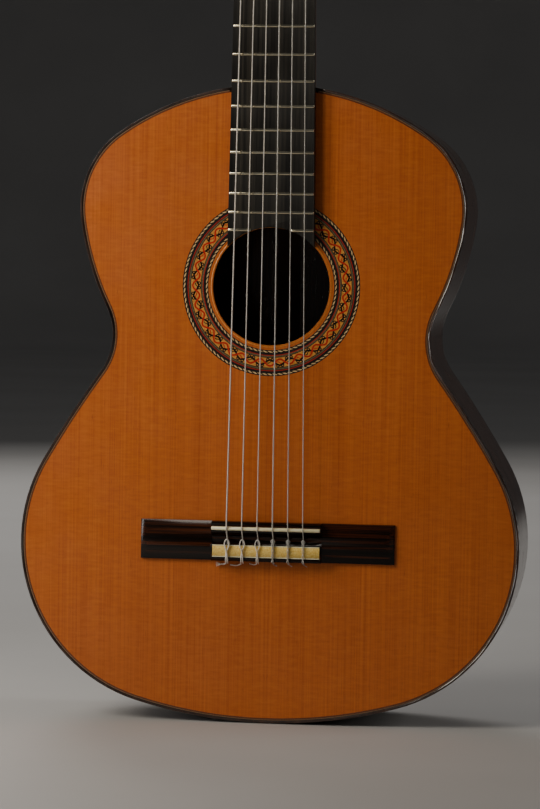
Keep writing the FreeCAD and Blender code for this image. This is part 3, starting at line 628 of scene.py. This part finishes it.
def outline_points(inset, step=4.0):
    """Right half of the body outline from tail to heel, drawn in by the inset."""
    c2, c4, c5 = (63.3, 130.0), (162.5, 283.0), (74.5, 376.5)
    r2, r4, r5, rf1, rf2 = 121.0, 45.5, 67.8, 800.0, 206.0
    r1 = (c2[0] ** 2 + c2[1] ** 2 - r2 ** 2) / (2 * (c2[1] - r2))
    c1 = (0.0, r1)
    head = BODY_LENGTH - c5[1]
    r6 = (c5[0] ** 2 + head ** 2 - r5 ** 2) / (2 * (head - r5))
    c6 = (0.0, BODY_LENGTH - r6)
    f1 = circle_meet(c2, rf1 - r2, c4, rf1 + r4)
    f2 = circle_meet(c5, rf2 - r5, c4, rf2 + r4)

    def along(c, t, d):
        u = unit((t[0] - c[0], t[1] - c[1]))
        return (c[0] + u[0] * d, c[1] + u[1] * d)

    ends = [(0.0, inset), along(c1, c2, r1 - inset), along(f1, c2, rf1 - inset), along(f1, c4, rf1 - inset),
            along(f2, c4, rf2 - inset), along(f2, c5, rf2 - inset), along(c6, c5, r6 - inset),
            (0.0, BODY_LENGTH - inset)]
    out = []
    for k, c in enumerate([c1, c2, f1, c4, f2, c5, c6]):
        a, b = ends[k], ends[k + 1]
        r = math.hypot(a[0] - c[0], a[1] - c[1])
        a0 = math.atan2(a[1] - c[1], a[0] - c[0])
        a1 = math.atan2(b[1] - c[1], b[0] - c[0])
        turn = (a1 - a0 + math.pi) % (2 * math.pi) - math.pi
        count = max(2, int(abs(turn) * r / step))
        for j in range(count):
            t = a0 + turn * j / count
            out.append((c[0] + r * math.cos(t), c[1] + r * math.sin(t)))
    out.append(ends[-1])
    return out


def purfling_lines():
    """Fine dyed lines let into the top, side by side, on both halves."""
    bands = [
        (1.8, 2.12, "black"), (2.12, 2.62, "tan"), (2.62, 2.9, "black"),
        (2.9, 3.34, "rust"), (3.34, 3.6, "black"),
    ]
    keys = ["black", "tan", "rust"]
    parts = []
    for d0, d1, key in bands:
        a = outline_points(d0)
        b = outline_points(d1)
        for flip in (1, -1):
            verts, faces = [], []
            rows = []
            for p, q in zip(a, b):
                if p[1] > 400 and p[0] < 30.3:
                    continue
                base = len(verts)
                verts += [(flip * p[0], FRONT, p[1]), (flip * q[0], FRONT, q[1]),
                          (flip * q[0], FRONT + 2.3, q[1]), (flip * p[0], FRONT + 2.3, p[1])]
                rows.append(base)
            for r0, r1 in zip(rows, rows[1:]):
                for j in range(4):
                    f = (r0 + j, r1 + j, r1 + (j + 1) % 4, r0 + (j + 1) % 4)
                    faces.append(f if flip > 0 else f[::-1])
            first = tuple(rows[0] + j for j in range(4))
            last = tuple(rows[-1] + j for j in reversed(range(4)))
            faces.append(first if flip > 0 else first[::-1])
            faces.append(last if flip > 0 else last[::-1])
            parts.append((verts, faces, None, keys.index(key)))
    o = joined("top_purfling_lines", parts, [MAT[k] for k in keys], slot_name="purfling_lines", smooth=False)
    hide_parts("top_purfling")


purfling_lines()


def bindings():
    """The rosewood edges, with the outer corner rounded over all the way round."""
    rim = outline_points(0.0, 2.5)
    inner_rim = outline_points(1.8, 2.5)

    def outer(e):
        """True for an edge that lies on the outer rim, not the inner one."""
        x = abs(e.verts[0].co.x + e.verts[1].co.x) / 2 / MM
        z = (e.verts[0].co.z + e.verts[1].co.z) / 2 / MM
        to_rim = min((x - p[0]) ** 2 + (z - p[1]) ** 2 for p in rim)
        to_inner = min((x - p[0]) ** 2 + (z - p[1]) ** 2 for p in inner_rim)
        return to_rim < 1.8 and to_rim < to_inner

    softened("bindings", MAT["rosewood_trim"], 1.0, 4, pick=outer)


bindings()


# -------------------------------------------------------------------- rosette
def annulus(r0, r1, top, bottom=1.2, count=240):
    verts, faces = [], []
    for k in range(count):
        a = 2 * math.pi * k / count
        c, s = math.cos(a), math.sin(a)
        for r, y in ((r0, -top), (r1, -top), (r1, bottom), (r0, bottom)):
            verts.append((r * c, FRONT + y, HOLE_Z + r * s))
    for k in range(count):
        a, b = 4 * k, 4 * ((k + 1) % count)
        for j in range(4):
            faces.append((a + j, b + j, b + (j + 1) % 4, a + (j + 1) % 4))
    return verts, faces


def beads(r0, r1, count, fill, slant, top):
    """A rope ring: slanting gold lozenges on black."""
    verts, faces = [], []
    rm = (r0 + r1) / 2
    for k in range(count):
        a0 = 2 * math.pi * k / count
        half = math.pi * fill / count
        lean = slant / rm
        ring = []
        for r, a in (
            (r0, a0 - half - lean),
            (rm - 0.1, a0 - half * 1.15 - lean * 0.2),
            (r1, a0 - half * 0.6 + lean),
            (r1, a0 + half + lean),
            (rm + 0.1, a0 + half * 1.15 + lean * 0.2),
            (r0, a0 + half * 0.6 - lean),
        ):
            ring.append((r, a))
        base = len(verts)
        for y in (-top, 0.3):
            for r, a in ring:
                verts.append((r * math.cos(a), FRONT + y, HOLE_Z + r * math.sin(a)))
        m = len(ring)
        faces.append(tuple(base + j for j in range(m)))
        for j in range(m):
            faces.append((base + j, base + m + j, base + m + (j + 1) % m, base + (j + 1) % m))
    return verts, faces


def ribbon(points, width, top):
    """A flat strip of inlaid veneer following (angle, radius) points."""
    flat = [Vector((r * math.cos(a), r * math.sin(a))) for a, r in points]
    verts, faces = [], []
    closed = (flat[0] - flat[-1]).length < 0.6 * width or len(flat) > 200
    n = len(flat)
    for k, p in enumerate(flat):
        a = flat[(k - 1) % n] if closed else flat[max(k - 1, 0)]
        b = flat[(k + 1) % n] if closed else flat[min(k + 1, n - 1)]
        t = (b - a).normalized()
        side = Vector((-t.y, t.x)) * width / 2
        for q, y in ((p - side, -top), (p + side, -top), (p + side, 0.3), (p - side, 0.3)):
            verts.append((q.x, FRONT + y, HOLE_Z + q.y))
    last = n if closed else n - 1
    for k in range(last):
        a, b = 4 * k, 4 * ((k + 1) % n)
        for j in range(4):
            faces.append((a + j, a + (j + 1) % 4, b + (j + 1) % 4, b + j))
    if not closed:
        faces.append((0, 1, 2, 3))
        faces.append(tuple(4 * (n - 1) + j for j in (3, 2, 1, 0)))
    return verts, faces


def rosette():
    keys = ["black", "red", "green", "gold", "cream", "tan"]
    parts = []

    def ring(r0, r1, key, top=0.0):
        v, f = annulus(r0, r1, top)
        parts.append((v, f, None, keys.index(key)))

    for r0, r1, key in [
        (61.7, ROSETTE_OUT, "black"), (61.2, 61.7, "red"), (60.8, 61.2, "black"), (60.3, 60.8, "green"),
        (60.1, 60.3, "tan"), (59.55, 60.1, "green"), (59.15, 59.55, "black"), (52.05, 59.15, "gold"),
        (51.65, 52.05, "black"), (51.15, 51.65, "green"), (50.95, 51.15, "tan"), (50.5, 50.95, "green"),
        (50.0, 50.5, "red"), (ROSETTE_IN, 50.0, "black"),
    ]:
        ring(r0, r1, key)
    lift = 0.012
    for r0, r1, count in ((63.5, 64.7, 108), (47.0, 48.2, 80)):
        v, f = beads(r0, r1, count, 0.60, 0.85, lift)
        parts.append((v, f, None, keys.index("cream")))
    lobes = 24
    mid, swing = 55.6, 2.35
    steps = lobes * 24
    red = []
    dark = []
    for k in range(steps):
        a = 2 * math.pi * k / steps
        red.append((a, mid + swing * math.cos(lobes * a)))
        dark.append((a, mid - (swing - 0.3) * math.cos(lobes * a)))
    v, f = ribbon(dark, 1.3, lift)
    parts.append((v, f, None, keys.index("black")))
    v, f = ribbon(red, 1.25, lift * 1.6)
    parts.append((v, f, None, keys.index("red")))
    for k in range(2 * lobes):
        a0 = math.pi * k / lobes
        out = -1 if k % 2 == 0 else 1
        centre_r = mid + out * (swing - 0.1)
        for turn in (-1, 1):
            ca = a0 + turn * 1.65 / centre_r
            pts = []
            for j in range(13):
                t = 2 * math.pi * j / 12
                pts.append((ca + 1.0 * math.sin(t) / centre_r, centre_r + 1.0 * math.cos(t)))
            v, f = ribbon(pts, 0.78, lift)
            parts.append((v, f, None, keys.index("black")))
            dot = [(ca + 0.34 * math.sin(math.pi * j / 3) / centre_r,
                    centre_r + 0.34 * math.cos(math.pi * j / 3)) for j in range(6)]
            verts = []
            for y in (-lift, 0.3):
                for a, r in dot:
                    verts.append((r * math.cos(a), FRONT + y, HOLE_Z + r * math.sin(a)))
            faces = [tuple(range(6))] + [(j, 6 + j, 6 + (j + 1) % 6, (j + 1) % 6) for j in range(6)]
            parts.append((verts, faces, None, keys.index("cream")))
        # a short leaf, red and black in turn, lies inside each bend of the dark line
        leaf = []
        for j in range(9):
            t = j / 8 * 2 - 1
            leaf.append((a0 + 1.9 * t / mid, mid + out * (0.35 + 0.75 * math.sin(2.6 * t))))
        v, f = ribbon(leaf, 0.7, lift * 0.8)
        parts.append((v, f, None, keys.index("red" if k % 2 else "black")))
    o = joined("rosette_mosaic", parts, [MAT[k] for k in keys], slot_name="rosette_mosaic", smooth=False)
    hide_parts("rosette")


rosette()


def hole_edge():
    """The soundhole's edge, rounded and polished: a thin lip round the inner wall, in cedar painted lighter
    than the top as a painted highlight.
    """
    profile = [
        (44.5, -0.01), (44.0, -0.03), (43.5, 0.10), (43.15, 0.4), (42.95, 0.9),
        (42.9, 1.4), (43.05, 2.0), (43.4, 2.4), (44.2, 2.45), (44.5, 1.2),
    ]
    verts, faces = [], []
    m, count = len(profile), 200
    for k in range(count):
        a = 2 * math.pi * k / count
        for r, y in profile:
            verts.append((r * math.cos(a), FRONT + y, HOLE_Z + r * math.sin(a)))
    for k in range(count):
        a, b = m * k, m * ((k + 1) % count)
        for j in range(m):
            faces.append((a + j, b + j, b + (j + 1) % m, a + (j + 1) % m))
    build("soundhole_lip", verts, faces, MAT["edge"], slot_name="cedar_top")


hole_edge()


# ---------------------------------------------------------------------- frets
def board_half(z):
    return 26.25 + (30.36 - 26.25) * (NUT_Z - z) / (SCALE / 2)


def fret_piece():
    parts = []
    for n in range(1, 20):
        z = NUT_Z - SCALE * (1 - 2 ** (-n / 12))
        half = board_half(z) - 0.12
        spans = [(-half, half)]
        cut = (HOLE_R + 0.3) ** 2 - (z - HOLE_Z) ** 2
        if cut > 0:
            inner = math.sqrt(cut)
            spans = [(-half, -inner), (inner, half)]
        for x0, x1 in spans:
            verts, faces = [], []
            stations = [
                (x0, 0.25), (x0 + 0.25, 0.72), (x0 + 0.8, 1.0),
                (x1 - 0.8, 1.0), (x1 - 0.25, 0.72), (x1, 0.25),
            ]
            sides = 11
            for x, grow in stations:
                for j in range(sides):
                    t = math.pi * j / (sides - 1)
                    h = 1.03 * grow * math.sin(t) ** 0.8
                    verts.append((x, FRONT - 6.0 - h, z + 1.08 * math.cos(t) * (0.8 + 0.2 * grow)))
            for k in range(len(stations) - 1):
                for j in range(sides):
                    a = k * sides + j
                    b = k * sides + (j + 1) % sides
                    faces.append((a, b, b + sides, a + sides))
            faces.append(tuple(reversed(range(sides))))
            faces.append(tuple(5 * sides + j for j in range(sides)))
            parts.append((verts, faces, None, 0))
    o = joined("fret_wires", parts, [MAT["nickel"]], slot_name="fret_nickel")
    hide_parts("frets")


fret_piece()


# --------------------------------------------------------------------- bridge
softened("fretboard", MAT["ebony"], 0.3, 2)
softened("nut", MAT["bone"], 0.2, 2)
softened("bridge", MAT["rosewood_bridge"], 0.14, 2)
softened("saddle", MAT["bone"], 0.15, 2)
softened("tie_block_inlay", MAT["gold_inlay"], 0.08, 1)


def bridge_lines():
    """Thin bone edges along the inlay of the tie block."""
    parts = []
    for z in (-20.75, -12.45):
        v = []
        for x in (-39.5, 39.5):
            for dz, h in ((-0.28, 7.6), (0.28, 7.6), (0.28, 8.43), (-0.28, 8.43)):
                v.append((x, FRONT - h, SADDLE_Z + z + dz))
        f = [(0, 1, 2, 3), (7, 6, 5, 4), (0, 4, 5, 1), (1, 5, 6, 2), (2, 6, 7, 3), (3, 7, 4, 0)]
        parts.append((v, f, None, 0))
    joined("tie_block_edges", parts, [MAT["bone"]], slot_name="bone", smooth=False)


bridge_lines()


# -------------------------------------------------------------------- strings
def string_end(n):
    """Where the string meets its roller, in guitar coordinates."""
    r = STRING_D[n] / 2
    row = n - 1 if n <= 3 else 6 - n
    side = 1 if n <= 3 else -1
    nut = Vector((NUT_X[n], FRONT - STRING_UNDER_AT_NUT - r, NUT_Z + NUT_HALF_T))
    dy, dz = nut.y - HEAD_O[1], nut.z - HEAD_O[2]
    depth0 = dy * math.cos(HEAD_TILT) - dz * math.sin(HEAD_TILT)
    s0 = dy * math.sin(HEAD_TILT) + dz * math.cos(HEAD_TILT)
    cd, cs = ROLLER_DEPTH - depth0, ROLLER_S[row] - s0
    dist = math.hypot(cd, cs)
    reach = ROLLER_R + r + 0.25
    lean = math.atan2(cd, cs) - math.asin(reach / dist)
    run = math.sqrt(dist * dist - reach * reach)
    land = side * (16.5 - 2.75 * row)
    return nut, head_point(land, depth0 + run * math.sin(lean), s0 + run * math.cos(lean)), lean, row, side


def strings():
    for n in range(1, 7):
        r = STRING_D[n] / 2
        x = SADDLE_X[n]
        nut, end, lean, row, side = string_end(n)
        crown = Vector((x, FRONT - SADDLE_TOP - r - 0.02, SADDLE_Z))
        tip = Vector((x, FRONT - TIE_HOLE_H, SADDLE_Z - TIE_REAR))
        mouth = Vector((x, FRONT - TIE_HOLE_H, SADDLE_Z - TIE_MOUTH))
        toward = (nut - crown).normalized()
        down = (mouth - crown).normalized()
        path = [tip, mouth - Vector((0, 0, 3)), mouth + Vector((0, -0.25, 0.2)), crown + down * 2.2,
                crown + down * 0.8 + Vector((0, -0.05, 0)), crown, crown + toward * 0.9, crown + toward * 6.0]
        for k in range(1, 24):
            path.append(crown.lerp(nut, k / 24))
        up = (end - nut).normalized()
        path += [nut - toward * 1.2, nut, nut + up * 1.2, nut.lerp(end, 0.4), nut.lerp(end, 0.8), end]
        v, f, u = tube_data(path, r, 12)
        key, slot_name = ("nylon", "string_nylon") if n <= 3 else ("wound", "string_wound")
        parts = [(v, f, u, 0)]
        parts += knot(n, x, r)
        o = joined("string_line_%d" % n, parts, [MAT[key], MAT["core"]], slot_name=slot_name)
        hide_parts("string_%d" % n)
        wrap(n, r, end, lean, row, side, key, slot_name)


def knot(n, x, r):
    """The tie at the bridge: out of the hole, over the block, round the string and back."""
    base = SADDLE_Z
    shift = -1 if x < 0 else 1

    def p(dx, h, z):
        return (x + dx, FRONT - h, base + z)

    out = []
    if n >= 4:
        top = 8.9 + r
        loop = [
            p(0.0, TIE_HOLE_H, -24.0), p(0.1, 3.9, -25.2), p(0.35, 5.6, -25.7),
            p(0.6, 8.2, -24.9), p(0.62, top, -22.6),
            p(0.35, top + 0.25, -19.0), p(-0.35, top + 0.45, -15.8), p(-1.35, top + 0.1, -13.3),
            p(-1.75, top - 0.1, -11.2), p(-1.1, top - 0.3, -8.9), p(0.0, top - 0.35 + r, -8.0),
            p(1.1, top - 0.3, -8.9), p(1.75, top - 0.1, -11.2), p(1.35, top, -13.3),
            p(0.35, top - 0.1, -15.8),
            p(-0.45, top - 0.05, -19.0), p(-0.62, top, -22.4), p(-0.75, 8.2, -24.9), p(-0.9, 6.2, -25.9),
        ]
        tails = {
            4: [p(-1.4, 4.8, -26.2), p(-3.6, 3.6, -26.6), p(-6.6, 3.0, -26.0)],
            5: [p(-1.6, 4.6, -26.4), p(-5.0, 3.0, -27.6), p(-9.6, 2.4, -27.2)],
            6: [p(-1.4, 4.4, -26.3), p(-3.4, 2.8, -26.9), p(-5.0, 2.0, -27.0)],
        }
        path = smooth_path(loop + tails[n], 6)
        v, f, u = tube_data(path, r, 10)
        out.append((v, f, u, 0))
        if n == 6:
            for k in range(5):
                a = -0.9 + 0.42 * k
                frays = smooth_path([
                    p(-4.6, 2.1, -27.0),
                    p(-6.2 - 0.4 * math.cos(a), 2.0, -27.2 - 0.8 * math.sin(a)),
                    p(-8.2 - 0.9 * math.cos(a), 1.3, -27.3 - 2.0 * math.sin(a)),
                ], 4)
                v, f, u = tube_data(frays, 0.16, 6)
                out.append((v, f, u, 1))
        return out
    # plain strings: a small ring in the channel and a twisted pair over the block
    ring_pts = []
    for k in range(13):
        a = 2 * math.pi * k / 12 + math.pi / 2
        ring_pts.append(p(1.25 * math.cos(a), 8.2 + 0.5 * math.sin(a) + r, -8.9 + 1.4 * math.sin(a)))
    first = [p(0.0, TIE_HOLE_H, -24.0), p(0.2, 3.9, -25.2), p(0.8, 6.0, -25.6), p(0.9, 8.3, -24.8)]
    strand_a, strand_b = [], []
    for k in range(9):
        t = k / 8
        z = -23.6 + t * 12.2
        w = 0.62 * math.cos(t * math.pi * 3.0)
        h = 8.95 + r * 0.9 + 0.35 * math.sin(t * math.pi * 3.0)
        strand_a.append(p(w, h, z))
        strand_b.append(p(-w, 8.95 + r * 0.9 - 0.35 * math.sin(t * math.pi * 3.0), z))
    path = smooth_path(first + strand_a + ring_pts + list(reversed(strand_b)), 5)
    v, f, u = tube_data(path, r * 0.9, 9)
    out.append((v, f, u, 0))
    tail = smooth_path([
        strand_b[0], p(0.5, 7.4, -25.4), p(1.1 * shift, 4.6, -26.3), p(2.3 * shift, 3.0, -27.2),
    ], 6)
    v, f, u = tube_data(tail, r * 0.9, 9)
    out.append((v, f, u, 0))
    return out


def wrap(n, r, end, lean, row, side, key, slot_name):
    """Turns on the roller; they turn with it."""
    s = ROLLER_S[row]
    reach = 5.0 + r + 0.03
    x0 = end.x
    pts = []
    turns = 3.4
    count = int(turns * 20)
    start = -math.pi / 2 + lean
    goal = side * 14.0
    step = (2 * r + 0.06) * (1 if goal * side > x0 * side else -1) * side
    for k in range(count + 1):
        t = k / count
        a = start + 2 * math.pi * turns * t
        x = x0 + step * turns * t
        pts.append(head_point(x, 11.0 + reach * math.sin(a), s + reach * math.cos(a)))
    v, f, u = tube_data(pts, r, 9)
    joined("string_turns_%d" % n, [(v, f, u, 0)], [MAT[key]], slot_name=slot_name,
           body="string_%d_roller" % n)


strings()


# ------------------------------------------------------------- floor and light
def studio():
    """A round paper floor that curves up into a wall, with five soft lamps."""
    me = bpy.data.meshes.new("studio_floor")
    flat_r, cove_r, wall_top, cove_steps = 7.5, 1.8, 5.0, 12
    rows = [(0.5, 0.0), (2.0, 0.0), (flat_r, 0.0)]
    for k in range(1, cove_steps + 1):
        a = math.pi / 2 * k / cove_steps
        rows.append((flat_r + cove_r * math.sin(a), cove_r * (1 - math.cos(a))))
    rows.append((flat_r + cove_r, wall_top))
    count = 96
    verts, faces = [(0.0, 0.0, -0.0005)], []
    for r, z in rows:
        for k in range(count):
            a = 2 * math.pi * k / count
            verts.append((r * math.cos(a), r * math.sin(a), z - 0.0005))
    for k in range(count):
        faces.append((0, 1 + k, 1 + (k + 1) % count))
        for j in range(len(rows) - 1):
            a, b = 1 + j * count + k, 1 + j * count + (k + 1) % count
            faces.append((a, a + count, b + count, b))
    me.from_pydata(verts, [], faces)
    for p in me.polygons:
        p.use_smooth = True
    m = Mat("studio_paper", Roughness=0.8)
    v = m.noise(m.coords((3, 3, 3)), detail=3.0)
    m.color(m.ramp(v, [(0.3, (0.42, 0.41, 0.395)), (0.7, (0.46, 0.45, 0.435))]))
    me.materials.append(m.mat)
    o = bpy.data.objects.new("studio_floor", me)
    bpy.context.scene.collection.objects.link(o)

    def area(name, place, look, size, power, tint):
        data = bpy.data.lights.new(name, "AREA")
        data.shape = "RECTANGLE"
        data.size, data.size_y = size
        data.energy = power
        data.color = tint
        lamp = bpy.data.objects.new(name, data)
        lamp.location = place
        lamp.visible_camera = False
        d = Vector(look) - Vector(place)
        lamp.rotation_euler = d.to_track_quat("-Z", "Y").to_euler()
        bpy.context.scene.collection.objects.link(lamp)

    area("key", (-0.64, -0.52, 0.72), (-0.04, 0, 0.30), (0.45, 0.5), 5.6, (1.0, 0.92, 0.80))
    area("edge", (-1.0, -0.52, 0.30), (-0.09, -0.05, 0.20), (0.26, 0.55), 3.4, (1.0, 0.97, 0.95))
    area("fill", (1.6, -2.4, 1.3), (0, 0, 0.4), (1.4, 1.4), 0.4, (1.0, 0.95, 0.90))
    area("side", (2.4, 0.5, 1.3), (0, 0, 0.4), (1.0, 1.4), 14, (1.0, 0.98, 0.95))
    area("back", (-0.9, 2.2, 1.6), (0, 0, 0.4), (1.4, 1.4), 26, (1.0, 0.97, 0.94))
    world = bpy.data.worlds.new("studio_air")
    world.use_nodes = True
    world.node_tree.nodes["Background"].inputs[0].default_value = (0.80, 0.80, 0.82, 1)
    world.node_tree.nodes["Background"].inputs[1].default_value = 0.09
    bpy.context.scene.world = world


studio()
